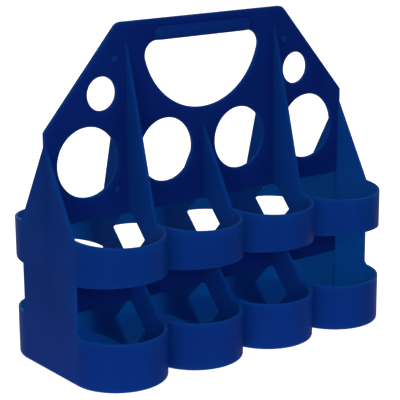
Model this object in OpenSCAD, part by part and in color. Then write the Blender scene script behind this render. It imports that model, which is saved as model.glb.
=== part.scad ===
// Moulded bottle carrier with eight pockets, four on each side of a flat handle panel.
// X runs along the row of pockets, Y from the front pockets to the rear ones, Z is up.
// The origin is the centre of the footprint, at the level the cups stand on.
// Two equal half mouldings meet back to back on the plane y = 0, and four snap rivets hold them.
// Each half is written below as its panel, band, ends, dividers, hoops and cups.

/* [Pockets] */
// Inner width of a pocket, and inner diameter of its round end
pocket_d = 77.6; // [72:0.2:86]
// Thickness of the hoops, cups, dividers and ends
wall = 2.4; // [1.6:0.2:3.6]
// Distance from the middle plane to the centre of a pocket's round end
pocket_reach = 40; // [34:1:50]

/* [Cups] */
// Height of a cup's rim at its round front
cup_h = 41.2; // [34:0.2:48]
// Height that the rim gains on its way back towards the dividers
cup_lean = 1.4; // [0.2:0.2:3]
// Height of the step by which the rim then climbs to a divider
cup_step = 3; // [1:0.2:6]
// Length of that step
step_run = 3; // [1:0.5:8]
// Thickness of the cup floors
floor_t = 2.4; // [1.6:0.2:4]
// Radius of the rounded lower edge
foot_r = 2; // [0.5:0.25:2.25]

/* [Hoops] */
// Height of a hoop's upper rim where it leaves the dividers
hoop_top = 124; // [116:0.5:132]
// Drop of the upper rim from the dividers to the front
hoop_top_drop = 2.8; // [0.4:0.2:6]
// Height of a hoop's lower rim where it leaves the dividers
hoop_foot = 86; // [76:0.5:96]
// Climb of the lower rim from the dividers to the front
hoop_foot_climb = 3.5; // [0.5:0.5:8]

/* [Panel] */
// Thickness of the flat panel in one half
panel_t = 1.5; // [1.2:0.1:2.4]
// Height of the bar above the hand opening
bar_h = 18.4; // [15:0.2:40]
// Width of the top edge, to the corners before rounding
panel_top_w = 178; // [160:1:200]
// Rise of the shoulders, where the slanted edges begin, above the outer round openings
shoulder_rise = 0.6; // [-8:0.2:12]
// Corner radius at the ends of the top edge
top_corner_r = 10; // [2:1:16]
// Corner radius at the shoulders
shoulder_r = 3; // [1:0.5:8]
// Height of the panel's lower edge, above the hoop windows
window_top = 125; // [120:0.5:132]
// Upper edge of the band between the two rows of windows
band_top = 83; // [76:0.5:86]
// Lower edge of that band
band_foot = 46.8; // [44:0.2:56]

/* [Handle] */
// Radius of the hand opening's round lower edge
hand_r = 62.8; // [54:0.2:66]
// Width of the web between that edge and the inner round openings
hand_web = 13.1; // [8:0.1:24]
// Drop of its flat upper edge below the centre of the round lower edge
hand_top_drop = 0.9; // [0:0.1:6]
// Corner radius at the ends of the flat upper edge
hand_corner_r = 12; // [4:1:18]
// Outer radius of the hollow grip
grip_r = 6; // [4:0.2:7]
// Length of the grip between the centres of its round ends
grip_len = 90; // [60:1:100]
// Height of the grip's underside below the flat upper edge
grip_overhang = 0.5; // [0.2:0.1:1.5]

/* [Round openings] */
// Diameter of the round openings over the outer pockets
outer_hole_d = 59.2; // [40:0.2:64]
// Diameter of the round openings over the inner pockets
inner_hole_d = 55.2; // [40:0.2:60]
// Height of the web under the outer round openings
hole_web = 19.8; // [8:0.2:30]
// Diameter of the small openings in the upper corners
small_hole_d = 28.4; // [16:0.2:32]
// Distance of the small openings from the middle
small_hole_x = 105; // [102:0.5:112]
// Height of the small openings above the round ones
small_hole_rise = 55.6; // [50:0.2:60]

/* [Dividers] */
// Distance below the panel's top edge at which the two tall fins run out on the panel
tall_fin_drop = 15.9; // [12:0.1:40]
// Distance below the shoulders at which the middle fin and the end fins run out
short_fin_drop = 12.1; // [4:0.1:24]
// Depth of the notch cut in from the outer edge, between hoop and cup
notch_depth = 17.5; // [6:0.5:24]
// Reach of the pointed opening behind the hoops, from the middle plane
hoop_vee = 24.4; // [23:0.2:30]
// Height of its point
hoop_vee_z = 106.4; // [102:0.2:108]
// Reach of the pointed opening behind the cups, from the middle plane
cup_vee = 23.4; // [23:0.2:30]
// Height of its point
cup_vee_z = 25; // [22:0.2:27]
// Steepness of the slanted edges of the pointed openings, as height over depth
vee_slope = 1.08; // [1.02:0.01:1.2]

/* [Rivets] */
// Shank diameter of a snap rivet
rivet_d = 4; // [3:0.2:5]
// Diameter of its domed head
rivet_head_d = 6.6; // [6:0.2:9]
// Height of the domed head
rivet_head_h = 1.8; // [1:0.1:3]
// Distance of the rivets from the tall fins' middle planes
rivet_offset = 11.5; // [9:0.5:16]
// Distance of the upper rivets below the panel's top edge
rivet_drop = 30.4; // [22:0.2:40]
// Height of the lower rivets above the hoop windows
rivet_rise = 22; // [12:0.5:27]
// Clearance round the shank in its hole
rivet_fit = 0.1; // [0.05:0.05:0.3]

/* [Hidden] */
$fn = 64;
columns = 4;
eps = 1;
pitch = pocket_d + wall;
inner_r = pocket_d / 2;
outer_r = inner_r + wall;
half_l = columns / 2 * pitch + wall / 2;
far = pocket_reach + outer_r;
// Centre height of the round openings, and then of everything that is stacked on them
hole_z = window_top + hole_web + outer_hole_d / 2;
small_hole_z = hole_z + small_hole_rise;
shoulder_z = hole_z + outer_hole_d / 2 + shoulder_rise;
hand_reach = hand_r + hand_web + inner_hole_d / 2;
hand_z = hole_z + sqrt(hand_reach * hand_reach - pow(pitch / 2, 2));
hand_top = hand_z - hand_top_drop;
panel_h = hand_top + bar_h;
tall_fin_top = panel_h - tall_fin_drop;
short_fin_top = shoulder_z - short_fin_drop;
rivet_top_z = panel_h - rivet_drop;
rivet_low_z = window_top + rivet_rise;
grip_z = hand_top - grip_overhang + grip_r;
stack_t = 2 * panel_t;
// How far the hand opening's corner arcs pass outside its large arc, so that they cross it
corner_bulge = 0.1;
cup_rim_h = cup_h + cup_lean + cup_step;
rivet_x = pitch + rivet_offset;
barb_r = rivet_d / 2 + 0.6;
barb_len = 3;
barb_tip_r = rivet_d / 2 - 0.5;
slot_w = 0.9;
blue = [0.03, 0.1, 0.42];

// Middle of a pocket column, counted from 1 at the left
function column_x(i) = (i - (columns + 1) / 2) * pitch;

// Centre of the circle that rounds the corner b of the path a, b, c
function corner_centre(a, b, c, r) =
    let (u = (a - b) / norm(a - b), v = (c - b) / norm(c - b), half = acos(u * v) / 2)
    b + (u + v) / norm(u + v) * r / sin(half);

// Point of the line from b towards p that lies under the centre m
function foot_point(b, p, m) =
    let (u = (p - b) / norm(p - b)) b + u * ((m - b) * u);

// Depth of a pointed opening's slanted edge at the height z, no less than the panel
function vee_depth(reach, point_z, z) = max(panel_t + eps, reach - abs(z - point_z) / vee_slope);

// The rear half is the front half facing the other way
module rear() {
    mirror([0, 1, 0]) children();
}

// Stands a flat outline up, facing the front, with its back on the middle plane
module upright(t) {
    rotate([90, 0, 0]) linear_extrude(height = t) children();
}

// Extrudes an outline drawn as depth and height into a sheet of thickness t across x
module across(x, t) {
    translate([x - t / 2, 0, 0]) rotate([90, 0, -90]) mirror([0, 0, 1])
        linear_extrude(height = t) children();
}

// Wide round opening under the handle, flat along the top
module hand_opening() {
    r = hand_corner_r;
    corner_z = hand_top - r;
    reach = hand_r - r + corner_bulge;
    corner_x = sqrt(reach * reach - pow(corner_z - hand_z, 2));
    meeting_z = hand_z + (corner_z - hand_z) * hand_r / reach;
    intersection() {
        translate([0, hand_z]) circle(r = hand_r);
        translate([-hand_r, meeting_z - 2 * hand_r]) square([2 * hand_r, 2 * hand_r]);
    }
    translate([-corner_x, meeting_z - eps]) square([2 * corner_x, hand_top - meeting_z + eps]);
    for (s = [-1, 1]) translate([s * corner_x, corner_z]) circle(r = r);
}

// The panel without its openings: each half runs between the tangent points of its round corners
module panel_outline() {
    top = [panel_top_w / 2, panel_h];
    shoulder = [half_l, shoulder_z];
    foot = [half_l, window_top];
    middle = [0, panel_h];
    top_c = corner_centre(middle, top, shoulder, top_corner_r);
    shoulder_c = corner_centre(top, shoulder, foot, shoulder_r);
    for (s = [0, 1]) mirror([s, 0]) {
        polygon([[-eps, window_top], foot, foot_point(shoulder, foot, shoulder_c),
            foot_point(shoulder, top, shoulder_c), foot_point(top, shoulder, top_c),
            foot_point(top, middle, top_c), [-eps, panel_h]]);
        translate(top_c) circle(r = top_corner_r);
        translate(shoulder_c) circle(r = shoulder_r);
    }
}

// Bar with round ends along the handle
module grip_form(r) {
    rotate([0, 90, 0]) cylinder(r = r, h = grip_len, center = true);
    for (s = [-1, 1]) translate([s * grip_len / 2, 0, 0]) sphere(r = r);
}

// Flat upper part of one half, with the hand opening, the round openings and half the grip
module panel() {
    color(blue) difference() {
        union() {
            upright(panel_t) difference() {
                panel_outline();
                hand_opening();
                for (s = [-1, 1]) {
                    translate([s * column_x(4), hole_z]) circle(d = outer_hole_d);
                    translate([s * column_x(3), hole_z]) circle(d = inner_hole_d);
                    translate([s * small_hole_x, small_hole_z]) circle(d = small_hole_d);
                }
            }
            intersection() {
                translate([0, 0, grip_z]) grip_form(grip_r);
                translate([-grip_len, -2 * grip_r, grip_z - 2 * grip_r])
                    cube([2 * grip_len, 2 * grip_r, 4 * grip_r]);
            }
        }
        translate([0, 0, grip_z]) grip_form(grip_r - panel_t);
        for (s = [-1, 1], z = [rivet_top_z, rivet_low_z])
            translate([s * rivet_x, eps, z]) rotate([90, 0, 0])
                cylinder(d = rivet_d + 2 * rivet_fit, h = panel_t + 2 * eps);
    }
}

// Strip of panel between the windows behind the hoops and those behind the cups
module band() {
    inside = half_l - wall;
    color(blue) upright(panel_t) translate([-inside, band_foot])
        square([2 * inside, band_top - band_foot]);
}

// End wall of one half, solid from the foot to the fin on the panel's edge
module end_wall(side) {
    color(blue) intersection() {
        across(side * (half_l - wall / 2), wall)
            polygon([[0, 0], [pocket_reach, 0], [pocket_reach, hoop_top],
                [panel_t, short_fin_top], [panel_t, window_top], [0, window_top]]);
        rotate([90, 0, 0]) linear_extrude(height = pocket_reach) {
            translate([-half_l, foot_r]) square([2 * half_l, short_fin_top]);
            translate([foot_r - half_l, 0]) square([2 * (half_l - foot_r), foot_r + eps]);
            for (s = [-1, 1]) translate([s * (half_l - foot_r), foot_r]) circle(r = foot_r);
        }
    }
}

// Wall between two pocket columns of one half, with the fin that runs up the panel
module divider(x, fin_top) {
    color(blue) across(x, wall)
        polygon([
            [0, 0], [pocket_reach, 0], [pocket_reach, cup_rim_h],
            [pocket_reach - notch_depth, (cup_rim_h + hoop_foot) / 2],
            [pocket_reach, hoop_foot], [pocket_reach, hoop_top],
            [panel_t, fin_top], [panel_t, window_top],
            [vee_depth(hoop_vee, hoop_vee_z, window_top), window_top], [hoop_vee, hoop_vee_z],
            [vee_depth(hoop_vee, hoop_vee_z, band_top), band_top], [panel_t, band_top],
            [panel_t, band_foot], [vee_depth(cup_vee, cup_vee_z, band_foot), band_foot],
            [cup_vee, cup_vee_z], [vee_depth(cup_vee, cup_vee_z, floor_t), floor_t], [0, floor_t]
        ]);
}

// Space of one pocket column outside the middle plane, beyond the straight sides
module round_end_space(i) {
    left = i == 1 ? -outer_r - eps : -pitch / 2;
    right = i == columns ? outer_r + eps : pitch / 2;
    translate([left, -outer_r - eps, -eps])
        cube([right - left, outer_r + eps, hoop_top + 2 * eps]);
}

// Hoop round the upper part of a pocket
module hoop(i) {
    color(blue) intersection() {
        translate([column_x(i), -pocket_reach, 0]) intersection() {
            difference() {
                cylinder(r = outer_r, h = hoop_top);
                translate([0, 0, -eps]) cylinder(r = inner_r, h = hoop_top + 2 * eps);
            }
            round_end_space(i);
        }
        across(column_x(i), 2 * pitch)
            polygon([[pocket_reach, hoop_foot], [far, hoop_foot + hoop_foot_climb],
                [far, hoop_top - hoop_top_drop], [pocket_reach, hoop_top]]);
    }
}

// Cup at the foot of a pocket, with its floor
module cup(i) {
    color(blue) {
        intersection() {
            translate([column_x(i), -pocket_reach, 0]) intersection() {
                rotate_extrude() difference() {
                    union() {
                        square([outer_r - foot_r, cup_rim_h]);
                        translate([0, foot_r]) square([outer_r, cup_rim_h - foot_r]);
                        translate([outer_r - foot_r, foot_r]) circle(r = foot_r);
                    }
                    translate([-eps, floor_t]) square([inner_r + eps, cup_rim_h]);
                }
                round_end_space(i);
            }
            across(column_x(i), 2 * pitch)
                polygon([[pocket_reach, 0], [far, 0], [far, cup_h],
                    [pocket_reach + step_run, cup_h + cup_lean], [pocket_reach, cup_rim_h]]);
        }
        translate([column_x(i) - inner_r, -pocket_reach, 0]) cube([pocket_d, pocket_reach, floor_t]);
    }
}

// Snap rivets through both panels, heads to the front and split barbs to the rear
module snap_rivets() {
    for (x = [-rivet_x, rivet_x], z = [rivet_top_z, rivet_low_z])
        color(blue) translate([x, 0, z]) rotate([90, 0, 0]) rivet();
}

// One rivet along Z, with the joint between the panels at z = 0 and its head above
module rivet() {
    union() {
        intersection() {
            dome_r = (pow(rivet_head_d / 2, 2) + pow(rivet_head_h, 2)) / (2 * rivet_head_h);
            translate([0, 0, panel_t + rivet_head_h - dome_r]) sphere(r = dome_r);
            translate([0, 0, panel_t]) cylinder(d = rivet_head_d, h = rivet_head_h + eps);
        }
        difference() {
            union() {
                translate([0, 0, -panel_t]) cylinder(d = rivet_d, h = stack_t);
                translate([0, 0, -panel_t - barb_len])
                    cylinder(r1 = barb_tip_r, r2 = barb_r, h = barb_len);
            }
            translate([-slot_w / 2, -barb_r - eps, -panel_t - barb_len - eps])
                cube([slot_w, 2 * (barb_r + eps), barb_len + panel_t + eps]);
        }
    }
}

panel();  // front_panel
band();  // front_band
end_wall(-1);  // front_end_left
end_wall(1);  // front_end_right
divider(-pitch, tall_fin_top);  // front_divider_left
divider(0, short_fin_top);  // front_divider_middle
divider(pitch, tall_fin_top);  // front_divider_right
hoop(1);  // front_hoop_1
hoop(2);  // front_hoop_2
hoop(3);  // front_hoop_3
hoop(4);  // front_hoop_4
cup(1);  // front_cup_1
cup(2);  // front_cup_2
cup(3);  // front_cup_3
cup(4);  // front_cup_4
rear() panel();  // rear_panel
rear() band();  // rear_band
rear() end_wall(-1);  // rear_end_left
rear() end_wall(1);  // rear_end_right
rear() divider(-pitch, tall_fin_top);  // rear_divider_left
rear() divider(0, short_fin_top);  // rear_divider_middle
rear() divider(pitch, tall_fin_top);  // rear_divider_right
rear() hoop(1);  // rear_hoop_1
rear() hoop(2);  // rear_hoop_2
rear() hoop(3);  // rear_hoop_3
rear() hoop(4);  // rear_hoop_4
rear() cup(1);  // rear_cup_1
rear() cup(2);  // rear_cup_2
rear() cup(3);  // rear_cup_3
rear() cup(4);  // rear_cup_4
snap_rivets();
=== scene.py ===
"""A rigid moulded carrier for eight drinks bottles, standing on a white floor.

Two equal half mouldings meet back to back on the plane y = 0, and four snap rivets hold them.
"""

from math import asin, cos, pi, radians, sin, sqrt

import bmesh
import bpy
from mathutils import Matrix, Vector


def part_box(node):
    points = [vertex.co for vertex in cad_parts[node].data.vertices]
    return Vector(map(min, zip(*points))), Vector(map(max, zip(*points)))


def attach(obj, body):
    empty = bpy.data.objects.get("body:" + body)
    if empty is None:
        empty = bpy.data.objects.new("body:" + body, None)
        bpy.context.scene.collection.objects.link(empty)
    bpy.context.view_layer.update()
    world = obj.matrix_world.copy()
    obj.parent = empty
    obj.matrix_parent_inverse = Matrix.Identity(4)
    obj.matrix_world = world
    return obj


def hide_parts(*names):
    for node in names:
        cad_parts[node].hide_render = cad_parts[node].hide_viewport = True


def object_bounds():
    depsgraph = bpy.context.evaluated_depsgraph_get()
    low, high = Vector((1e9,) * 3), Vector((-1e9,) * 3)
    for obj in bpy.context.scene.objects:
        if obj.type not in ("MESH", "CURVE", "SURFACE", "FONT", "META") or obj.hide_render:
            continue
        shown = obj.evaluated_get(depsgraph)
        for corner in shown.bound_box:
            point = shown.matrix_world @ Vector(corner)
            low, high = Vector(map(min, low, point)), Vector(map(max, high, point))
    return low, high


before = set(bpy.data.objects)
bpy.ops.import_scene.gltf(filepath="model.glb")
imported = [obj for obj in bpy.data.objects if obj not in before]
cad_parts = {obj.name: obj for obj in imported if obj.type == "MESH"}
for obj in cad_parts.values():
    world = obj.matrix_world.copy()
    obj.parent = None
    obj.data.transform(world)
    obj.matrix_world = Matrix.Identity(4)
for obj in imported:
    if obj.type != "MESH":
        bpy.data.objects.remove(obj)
cad_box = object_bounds()

# Camera: a long lens a little above the handle, from the front left, as in the photograph.
# The image is square. Its place and turn bring the model's corners, rims and openings
# onto the photograph's.
camera_place = (-0.72356, -0.94170, 0.43436)
camera_azimuth = 37.404
camera_dip = 14.703
camera_roll = 0.368
lens_mm = 125.13
sensor_mm = 36

camera = bpy.data.objects.new("camera", bpy.data.cameras.new("camera"))
bpy.context.scene.collection.objects.link(camera)
camera.data.sensor_width = sensor_mm
camera.data.lens = lens_mm
camera.data.clip_end = 50
camera.matrix_world = (
    Matrix.Translation(camera_place)
    @ Matrix.Rotation(radians(-camera_azimuth), 4, "Z")
    @ Matrix.Rotation(radians(90 - camera_dip), 4, "X")
    @ Matrix.Rotation(radians(-camera_roll), 4, "Z")
)
bpy.context.scene.camera = camera
bpy.context.scene.view_settings.view_transform = "Standard"


# Floor and room: the carrier stands on a softly lit white sheet, which sends light up into it and
# keeps a faint shadow. Around it the floor and room are white in the picture and in gloss, but
# dim as lights.
class Socket:
    """A shader socket that takes part in sums, and the one method that adds any other node."""

    def __init__(self, tree, out=None):
        self.tree = tree
        self.out = out

    def node(self, kind, sockets=None, output=0, **settings):
        """Adds a node of this kind with its settings, then the values or links of its sockets."""
        made = self.tree.nodes.new(kind)
        for name, value in settings.items():
            setattr(made, name, value)
        for name, value in (sockets or {}).items():
            if isinstance(value, Socket):
                self.tree.links.new(value.out, made.inputs[name])
            else:
                made.inputs[name].default_value = value
        return Socket(self.tree, made.outputs[output] if made.outputs else None)

    def blend(self, low, high, at_low, at_high):
        """Takes this value's range from low to high over to the range from at_low to at_high."""
        return self.node("ShaderNodeMapRange", {
            "Value": self, "From Min": low, "From Max": high, "To Min": at_low, "To Max": at_high})

    def maths(self, operation, a, b):
        return self.node("ShaderNodeMath", {0: a, 1: b}, operation=operation)

    def __add__(self, other):
        return self.maths("ADD", self, other)

    def __radd__(self, other):
        return self.maths("ADD", other, self)

    def __rsub__(self, other):
        return self.maths("SUBTRACT", other, self)

    def __mul__(self, other):
        return self.maths("MULTIPLY", self, other)

    def __rmul__(self, other):
        return self.maths("MULTIPLY", other, self)


def new_material(name):
    """An empty node material, and a socket of its tree to start from."""
    material = bpy.data.materials.new(name)
    material.use_nodes = True
    material.node_tree.nodes.clear()
    return material, Socket(material.node_tree)


white = (1, 1, 1, 1)
floor_half = 3
floor_gap = 0.0002
floor_white = 0.86
sheet_radius = 0.28
sheet_edge = 0.42
sheet_white = 0.85
sheet_glow = 0.65
table_grey = 0.12
room_light = 0.05


def background_share(start, with_translucent):
    """1 for rays that should meet the plain white background, and 0 for rays that carry light."""
    seen = start.node("ShaderNodeLightPath", output="Is Camera Ray")
    glossy = start.node("ShaderNodeLightPath", output="Is Glossy Ray")
    through = start.node("ShaderNodeLightPath", output="Is Transmission Ray")
    if not with_translucent:
        through = through * (1 - start.node("ShaderNodeLightPath", output="Is Diffuse Ray"))
    return start.maths("MAXIMUM", seen, start.maths("MAXIMUM", glossy, through))


floor_material, start = new_material("white_floor")
place = start.node("ShaderNodeTexCoord", output="Object")
away = start.node("ShaderNodeVectorMath", {0: place}, output="Value", operation="LENGTH")
shown = background_share(start, with_translucent=False)
tone = away.blend(sheet_radius, sheet_edge, sheet_white, table_grey)
matt = start.node("ShaderNodeBsdfDiffuse", {"Color": start.maths("MAXIMUM", tone, shown * sheet_white)})
backdrop = away.blend(sheet_edge, floor_half / 3, floor_white, 1)
sheet_light = away.blend(sheet_radius, sheet_edge, sheet_glow, 0)
glow = start.node("ShaderNodeEmission", {
    "Color": white, "Strength": shown * backdrop + (1 - shown) * sheet_light})
start.node("ShaderNodeOutputMaterial", {"Surface": start.node("ShaderNodeAddShader", {0: matt, 1: glow})})

floor_mesh = bpy.data.meshes.new("floor")
bm = bmesh.new()
bmesh.ops.create_grid(bm, x_segments=1, y_segments=1, size=floor_half)
bmesh.ops.translate(bm, verts=bm.verts, vec=(0, 0, -floor_gap))
bm.to_mesh(floor_mesh)
bm.free()
floor = bpy.data.objects.new("floor", floor_mesh)
floor_mesh.materials.append(floor_material)
bpy.context.scene.collection.objects.link(floor)

room = bpy.data.worlds.new("room")
bpy.context.scene.world = room
room.use_nodes = True
room.node_tree.nodes.clear()
start = Socket(room.node_tree)
shown = background_share(start, with_translucent=True)
strength = room_light + shown * (1 - room_light)
start.node("ShaderNodeOutputWorld", {"Surface": start.node(
    "ShaderNodeBackground", {"Color": white, "Strength": strength})})


# Lamps: a low key lamp to the left of the camera, a smaller one beside it that reaches in between
# the hoops and cups, and broad weak ones overhead and behind. All are white, so that the plastic
# shows its own colour.
def soft_lamp(name, azimuth, height, distance, width, power):
    """A square lamp that faces the carrier: azimuth 0 is the front, 90 the left end, 180 the back."""
    lamp = bpy.data.objects.new(name, bpy.data.lights.new(name, "AREA"))
    lamp.data.shape = "SQUARE"
    lamp.data.size = width
    lamp.data.energy = power
    away = Matrix.Rotation(radians(-azimuth), 3, "Z") @ Vector((0, -1, 0))
    target = Vector((0, 0, cad_box[1][2] / 2))
    place = target + distance * (away * sqrt(1 - height * height) + Vector((0, 0, height)))
    aim = (target - place).to_track_quat("-Z", "Y").to_matrix().to_4x4()
    lamp.matrix_world = Matrix.Translation(place) @ aim
    bpy.context.scene.collection.objects.link(lamp)


soft_lamp("key_lamp", azimuth=55, height=0.1, distance=2.2, width=0.8, power=16)
soft_lamp("front_lamp", azimuth=25, height=0.31, distance=2.2, width=0.35, power=15)
soft_lamp("top_lamp", azimuth=30, height=0.975, distance=2.0, width=0.8, power=18)
soft_lamp("back_lamp", azimuth=190, height=0.3, distance=2.4, width=1.4, power=14)


# Flat handle panel of a half moulding: polypropylene, 1.5 mm thick, with round openings that
# save weight, a hand opening with a flat top, and half of the hollow grip along it.
mm = 0.001
round_steps = 96
order_line = Vector((1, 7.31, 53.17))
cut_depth = 10 * mm
hand_radius = 62.8 * mm
hand_drop = 0.9 * mm
bar_height = 18.4 * mm
hand_corner = 12 * mm
top_width = 178 * mm
top_corner = 10 * mm
shoulder_height = 204.6 * mm
shoulder_corner = 3 * mm
hole_height = 174.4 * mm
outer_hole = 29.6 * mm
inner_hole = 27.6 * mm
small_hole = 14.2 * mm
small_hole_x = 105 * mm
small_hole_height = 230 * mm
grip_radius = 6 * mm
grip_length = 90 * mm
grip_overhang = 0.5 * mm
grip_wall = 1.5 * mm

panel_low, panel_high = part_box("front_panel")
band_low, band_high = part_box("front_band")
fin_low, fin_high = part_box("front_divider_left")
half_length = panel_high.x
window_top = panel_low.z
panel_top = panel_high.z
panel_t = band_high.y - band_low.y
wall = fin_high.x - fin_low.x
pitch = -(fin_low.x + fin_high.x) / 2
columns = [(i - 1.5) * pitch for i in range(4)]
hand_top = panel_top - bar_height
grip_height = hand_top - grip_overhang + grip_radius


def in_order(bm):
    """Numbers points, edges and faces by place, so that each run gives the same mesh."""
    bm.verts.sort(key=lambda v: v.co.dot(order_line))
    bm.edges.sort(key=lambda e: (e.verts[0].co + e.verts[1].co).dot(order_line))
    bm.faces.sort(key=lambda f: f.calc_center_median().dot(order_line))
    return bm


def settled(bm):
    """Merges double points and puts all on a grid of a micrometre, so that flush faces are flush."""
    bmesh.ops.remove_doubles(bm, verts=bm.verts, dist=0.001 * mm)
    for v in bm.verts:
        v.co = [round(c, 6) for c in v.co]
    bmesh.ops.recalc_face_normals(bm, faces=bm.faces)
    return in_order(bm)


def hull(bm):
    """The convex form stretched over all the points of a bmesh."""
    settled(bm)
    bmesh.ops.delete(bm, geom=bm.edges[:] + bm.faces[:], context="EDGES_FACES")
    made = bmesh.ops.convex_hull(bm, input=bm.verts)
    bmesh.ops.delete(bm, geom=made["geom_interior"], context="VERTS")
    bmesh.ops.dissolve_limit(bm, angle_limit=radians(0.1), verts=bm.verts, edges=bm.edges)
    return settled(bm)


def upright_slab(front, back, discs):
    """Upright slab with an outline drawn tight round discs: x, z, radius and perhaps a ceiling."""
    bm = bmesh.new()
    for y in (front, back):
        for x, z, radius, *ceiling in discs:
            place = Matrix.Translation((x, y, z)) @ Matrix.Rotation(pi / 2, 4, "X")
            ring = bmesh.ops.create_circle(bm, radius=radius, segments=round_steps, matrix=place)
            high = [v for v in ring["verts"] if ceiling and v.co.z > ceiling[0]]
            bmesh.ops.delete(bm, geom=high, context="VERTS")
    return hull(bm)


def corner_disc(before, corner, after, radius):
    """The disc that rounds an outline's corner."""
    back, on = (before - corner).normalized(), (after - corner).normalized()
    centre = corner + (back + on).normalized() * radius / sin(back.angle(on) / 2)
    return centre.x, centre.y, radius


def half_bar(radius):
    """Front half of a bar with round ends along the handle."""
    bm = bmesh.new()
    for end in (-1, 1):
        place = Matrix.Translation((end * grip_length / 2, 0, grip_height))
        place = place @ Matrix.Rotation(pi / 2, 4, "Y")
        bmesh.ops.create_uvsphere(bm, u_segments=48, v_segments=24, radius=radius, matrix=place)
    settled(bm)
    bmesh.ops.delete(bm, geom=[v for v in bm.verts if v.co.y > 0], context="VERTS")
    return hull(bm)


panel_discs = []
for side in (-1, 1):
    foot = Vector((side * half_length, window_top))
    shoulder = Vector((side * half_length, shoulder_height))
    top = Vector((side * top_width / 2, panel_top))
    middle = Vector((0, panel_top))
    panel_discs += [
        (*foot, 0),
        corner_disc(foot, shoulder, top, shoulder_corner),
        corner_disc(shoulder, top, middle, top_corner),
    ]
panel_forms = [upright_slab(-panel_t, 0, panel_discs), half_bar(grip_radius)]

corner_height = hand_top - hand_corner
hand_height = hand_top + hand_drop
corner_x = sqrt((hand_radius - hand_corner) ** 2 - (corner_height - hand_height) ** 2)
hand_discs = [(0, hand_height, hand_radius, corner_height)]
hand_discs += [(side * corner_x, corner_height, hand_corner) for side in (-1, 1)]
panel_cuts = [upright_slab(-cut_depth, cut_depth, [d]) for side in (-1, 1) for d in (
    (side * 1.5 * pitch, hole_height, outer_hole),
    (side * 0.5 * pitch, hole_height, inner_hole),
    (side * small_hole_x, small_hole_height, small_hole),
)]
panel_cuts += [upright_slab(-cut_depth, cut_depth, hand_discs), half_bar(grip_radius - grip_wall)]


# Upright walls of a half moulding: the ends, and the dividers between the pockets. Each runs
# up the panel as a fin, and a divider is cut away where the front and rear pockets meet.
short_fin_top = 192.5 * mm
notch_depth = 17.5 * mm
hoop_vee = 24.4 * mm
hoop_vee_height = 106.4 * mm
cup_vee = 23.4 * mm
cup_vee_height = 25 * mm
vee_slope = 1.08
foot_radius = 2 * mm
floor_t = 2.4 * mm
vee_root = panel_t + 1 * mm

hoop_low, hoop_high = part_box("front_hoop_1")
cup_low, cup_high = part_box("front_cup_1")
reach = -hoop_high.y
outer_radius = hoop_high.y - hoop_low.y
inner_radius = outer_radius - wall
hoop_foot, hoop_top = hoop_low.z, hoop_high.z
cup_rim = cup_high.z
tall_fin_top = fin_high.z


def upright_plate(middle, outline):
    """A plate of the moulding's wall thickness across x, from its outline as depth and height."""
    bm = bmesh.new()
    face = bm.faces.new([bm.verts.new((middle - wall / 2, -depth, z)) for depth, z in outline])
    grown = bmesh.ops.extrude_face_region(bm, geom=[face])
    moved = [g for g in grown["geom"] if isinstance(g, bmesh.types.BMVert)]
    bmesh.ops.translate(bm, vec=(wall, 0, 0), verts=moved)
    return settled(bm)


def vee(vee_reach, point_height, low, high):
    """Outline of a pointed opening in a divider, from its upper end down to its lower one."""
    def depth(z):
        return max(vee_root, vee_reach - abs(z - point_height) / vee_slope)
    return [(depth(high), high), (vee_reach, point_height), (depth(low), low)]


def divider(middle, fin_top):
    return upright_plate(middle, [
        (0, 0), (reach, 0), (reach, cup_rim), (reach - notch_depth, (cup_rim + hoop_foot) / 2),
        (reach, hoop_foot), (reach, hoop_top), (panel_t, fin_top), (panel_t, window_top),
        *vee(hoop_vee, hoop_vee_height, band_high.z, window_top), (panel_t, band_high.z),
        (panel_t, band_low.z), *vee(cup_vee, cup_vee_height, floor_t, band_low.z), (0, floor_t),
    ])


def end_wall(side):
    bm = upright_plate(side * (half_length - wall / 2), [
        (0, 0), (reach, 0), (reach, hoop_top), (panel_t, short_fin_top), (panel_t, window_top),
        (0, window_top),
    ])
    foot = [e for e in bm.edges if all(v.co.z == 0 and abs(v.co.x) > half_length - wall / 2 for v in e.verts)]
    bmesh.ops.bevel(bm, geom=foot, offset=foot_radius, offset_type="OFFSET", segments=6, profile=0.5,
                    affect="EDGES", material=-1, clamp_overlap=False)
    return settled(bm)


upright_forms = [end_wall(-1), end_wall(1), divider(0, short_fin_top)]
upright_forms += [divider(side * pitch, tall_fin_top) for side in (-1, 1)]


# Hoops and cups of a half moulding, which hold the bottles: half rings beyond the dividers.
# Their rims run down towards the front, and a step lifts each cup's rim beside a divider.
# A strip of panel joins them between the two rows of windows, and a floor closes the cups.
hoop_top_drop = 2.8 * mm
hoop_foot_climb = 3.5 * mm
cup_height = 41.2 * mm
cup_lean = 1.4 * mm
cup_step = 3 * mm
step_run = 3 * mm
half_ring_steps = 48


def swept(middle, outline, soft_corner=None):
    """Half a turn about a pocket's axis of an outline, given as radius and height."""
    bm = bmesh.new()
    points = [bm.verts.new((middle - radius, -reach, z)) for radius, z in outline]
    face = bm.faces.new(points)
    if soft_corner is not None:
        bmesh.ops.bevel(bm, geom=[points[soft_corner]], offset=foot_radius, offset_type="OFFSET",
                        segments=6, profile=0.5, affect="VERTICES", material=-1, clamp_overlap=False)
    bmesh.ops.spin(bm, geom=bm.verts[:] + bm.edges[:] + bm.faces[:], cent=(middle, -reach, 0),
                   axis=(0, 0, 1), angle=pi, steps=half_ring_steps, use_merge=False)
    return settled(bm)


def hoop(middle):
    bm = swept(middle, [(inner_radius, hoop_foot), (outer_radius, hoop_foot),
                        (outer_radius, hoop_top), (inner_radius, hoop_top)])
    for v in bm.verts:
        share = (-reach - v.co.y) / outer_radius
        v.co.z += -share * hoop_top_drop if v.co.z > hoop_foot else share * hoop_foot_climb
    return settled(bm)


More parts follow.
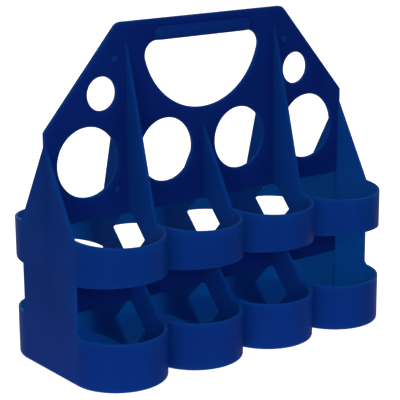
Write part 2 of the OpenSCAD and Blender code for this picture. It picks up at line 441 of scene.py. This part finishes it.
def cup(middle):
    bm = swept(middle, [(0, 0), (outer_radius, 0), (outer_radius, cup_rim), (inner_radius, cup_rim),
                        (inner_radius, floor_t), (0, floor_t)], soft_corner=1)
    bmesh.ops.bisect_plane(bm, geom=bm.verts[:] + bm.edges[:] + bm.faces[:],
                           plane_co=(0, -reach - step_run, 0), plane_no=(0, 1, 0))
    for v in bm.verts:
        beyond = -reach - v.co.y
        if v.co.z > cup_height and beyond < step_run:
            v.co.z -= cup_step * beyond / step_run
        elif v.co.z > cup_height:
            lean = 1 - (beyond - step_run) / (outer_radius - step_run)
            v.co.z = cup_height + cup_lean * lean
    return settled(bm)


def block(low, high):
    bm = bmesh.new()
    size = Vector(high) - Vector(low)
    place = Matrix.Translation((Vector(low) + Vector(high)) / 2) @ Matrix.Diagonal((*size, 1))
    bmesh.ops.create_cube(bm, size=1, matrix=place)
    return settled(bm)


pocket_forms = [hoop(x) for x in columns] + [cup(x) for x in columns]
inside = half_length - wall / 2
pocket_forms.append(block((-inside, -panel_t, band_low.z), (inside, 0, band_high.z)))
pocket_forms.append(block((foot_radius - half_length, -reach, 0), (half_length - foot_radius, 0, floor_t)))


# Half mouldings: all of the above in one shot of deep blue polypropylene, with soft edges where
# a mould has them and a finer edge along the joint of the two halves on the middle plane.
# The rear half is the same moulding turned round.
edge_radius = 0.45 * mm
seam_radius = 0.2 * mm
sharp_angle = 30
merge_gap = 0.02 * mm
smooth_angle = 40
refraction = 1.49
specular_level = 0.015
specular_tint = (0, 0.8, 1, 1)
through_colour = (0, 0.45, 0.9, 1)
light_through = 0.36


def as_object(name, bm):
    mesh = bpy.data.meshes.new(name)
    bm.to_mesh(mesh)
    bm.free()
    made = bpy.data.objects.new(name, mesh)
    bpy.context.scene.collection.objects.link(made)
    return made


def moulded(name, forms, cuts):
    """One closed mesh of all the forms less all the cuts."""
    whole = as_object(name, forms[0])
    tools = []
    for operation, shapes in (("UNION", forms[1:]), ("DIFFERENCE", cuts)):
        for bm in shapes:
            tools.append(as_object(f"{name}_tool", bm))
            step = whole.modifiers.new(operation, "BOOLEAN")
            step.operation = operation
            step.solver = "MANIFOLD"
            step.object = tools[-1]
    bm = bmesh.new()
    bm.from_object(whole, bpy.context.evaluated_depsgraph_get())
    for spare in tools + [whole]:
        bpy.data.objects.remove(spare)
    bmesh.ops.remove_doubles(bm, verts=bm.verts, dist=merge_gap)
    bmesh.ops.dissolve_degenerate(bm, edges=bm.edges, dist=merge_gap)
    bmesh.ops.dissolve_limit(bm, angle_limit=radians(0.4), verts=bm.verts, edges=bm.edges)
    return settled(bm)


def soften(bm, radius, wanted):
    """Rounds the sharp outer edges for which wanted is true."""
    edges = [e for e in bm.edges if e.calc_face_angle_signed(0) > radians(sharp_angle) and wanted(e)]
    bmesh.ops.bevel(bm, geom=edges, offset=radius, offset_type="OFFSET", segments=2, profile=0.5,
                    affect="EDGES", material=-1, clamp_overlap=False)


def on_seam(edge):
    return all(abs(v.co.y) < merge_gap for v in edge.verts)


def smooth_finish(piece, material, nodes):
    """Smooth shading with flat faces kept flat, the material, and what the piece stands for."""
    piece.data.materials.append(material)
    for face in piece.data.polygons:
        face.use_smooth = True
    piece.data.set_sharp_from_angle(angle=radians(smooth_angle))
    even = piece.modifiers.new("even_shading", "WEIGHTED_NORMAL")
    even.keep_sharp = True
    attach(piece, "root")
    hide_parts(*nodes)


def plastic(name, deep, bright, gloss, scratch_depth):
    """Deep blue plastic that lets some light through: faint flow marks, a fine skin, scratches."""
    material, start = new_material(name)
    place = start.node("ShaderNodeTexCoord", output="Object")
    cloud = start.node("ShaderNodeTexNoise", {"Vector": place, "Scale": 14, "Detail": 3})
    along = start.node("ShaderNodeMapping", {"Vector": place, "Scale": (70, 70, 5)})
    flow = start.node("ShaderNodeTexNoise", {"Vector": along, "Scale": 1, "Detail": 4, "Distortion": 0.6})
    skin = start.node("ShaderNodeTexNoise", {"Vector": place, "Scale": 1100, "Detail": 2})
    speck = start.node("ShaderNodeTexNoise", {"Vector": place, "Scale": 260, "Detail": 5})
    scratches = None
    for turn in ((0.3, 0.2, 0.5), (1.1, -0.4, -0.7)):
        drawn = start.node("ShaderNodeMapping", {"Vector": place, "Rotation": turn, "Scale": (900, 900, 14)})
        line = start.node("ShaderNodeTexNoise", {"Vector": drawn, "Scale": 1, "Detail": 1})
        line = line.blend(0.71, 0.76, 0, 1)
        scratches = line if scratches is None else scratches + line
    marks = (0.5 * cloud + 0.5 * flow).blend(0.35, 0.65, 0, 1)
    colour = start.node("ShaderNodeMix", {"Factor": marks, "A": deep, "B": bright},
                        output="Result", data_type="RGBA")
    height = 0.25 * skin + 0.2 * speck + -1 * scratch_depth * scratches
    bump = start.node("ShaderNodeBump", {"Height": height, "Strength": 0.35, "Distance": 0.00012})
    shader = start.node("ShaderNodeBsdfPrincipled", {
        "Base Color": colour,
        "Roughness": gloss + 0.1 * flow + 0.08 * speck + 0.12 * scratches,
        "Normal": bump,
        "IOR": refraction,
        "Specular IOR Level": specular_level,
        "Specular Tint": specular_tint,
    })
    thin_wall = start.node("ShaderNodeBsdfTranslucent", {"Color": through_colour, "Normal": bump})
    plastic_wall = start.node("ShaderNodeMixShader", {0: light_through, 1: shader, 2: thin_wall})
    start.node("ShaderNodeOutputMaterial", {"Surface": plastic_wall})
    return material


moulded_blue = plastic("moulded_blue", (0.004, 0.017, 0.145, 1), (0.004, 0.024, 0.180, 1),
                       gloss=0.34, scratch_depth=0.5)

half = moulded("half", panel_forms + upright_forms + pocket_forms, panel_cuts)
soften(half, edge_radius, lambda e: not on_seam(e))
soften(half, seam_radius, on_seam)
bmesh.ops.dissolve_degenerate(half, edges=half.edges, dist=0.001 * mm)
bmesh.ops.recalc_face_normals(half, faces=half.faces)
turned = half.copy()
bmesh.ops.rotate(turned, verts=turned.verts, cent=(0, 0, 0), matrix=Matrix.Rotation(pi, 3, "Z"))
node_names = list(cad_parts)
for side, bm in (("front", half), ("rear", turned)):
    piece = as_object(f"{side}_half_moulding", bm)
    smooth_finish(piece, moulded_blue, [n for n in node_names if n.startswith(side)])


# Snap rivets: four small nylon pins pushed through both panels from the front, each with a domed
# head, and a split barb that springs open behind the rear panel.
rivet_x = 91.5 * mm
rivet_heights = [panel_top - 30.4 * mm, window_top + 22 * mm]
rivet_radius = 2 * mm
rivet_head = 3.3 * mm
rivet_rise = 1.8 * mm
barb_radius = 2.6 * mm
barb_tip = 1.5 * mm
barb_length = 3 * mm
slot_width = 0.9 * mm
dome_steps = 8
rivet_steps = 32
rivet_edge = 0.15 * mm

dome_radius = (rivet_head ** 2 + rivet_rise ** 2) / (2 * rivet_rise)
dome_turn = asin(rivet_head / dome_radius)
dome_back = panel_t + rivet_rise - dome_radius
profile = [(dome_radius * sin(dome_turn * i / dome_steps),
            -dome_back - dome_radius * cos(dome_turn * i / dome_steps)) for i in range(dome_steps + 1)]
profile += [(rivet_radius, -panel_t), (rivet_radius, panel_t), (barb_radius, panel_t),
            (barb_tip, panel_t + barb_length), (0, panel_t + barb_length)]

rivets = bmesh.new()
for x in (-rivet_x, rivet_x):
    for z in rivet_heights:
        pin = bmesh.new()
        face = pin.faces.new([pin.verts.new((x + radius, y, z)) for radius, y in profile])
        bmesh.ops.spin(pin, geom=pin.verts[:] + pin.edges[:] + [face], cent=(x, 0, z), axis=(0, 1, 0),
                       angle=2 * pi, steps=rivet_steps, use_merge=True)
        bmesh.ops.delete(pin, geom=[f for f in pin.faces if len(f.verts) > 4], context="FACES_ONLY")
        settled(pin)
        slot = block((x - slot_width / 2, -panel_t / 2, z - barb_radius * 2),
                     (x + slot_width / 2, panel_t + barb_length * 2, z + barb_radius * 2))
        pin = moulded("rivet", [pin], [slot])
        soften(pin, rivet_edge, lambda e: True)
        spare = as_object("spare", pin)
        rivets.from_mesh(spare.data)
        bpy.data.objects.remove(spare)
rivet_blue = plastic("rivet_blue", (0.004, 0.022, 0.160, 1), (0.005, 0.030, 0.190, 1),
                     gloss=0.26, scratch_depth=0.2)
smooth_finish(as_object("snap_rivet_pins", rivets), rivet_blue, ["snap_rivets"])
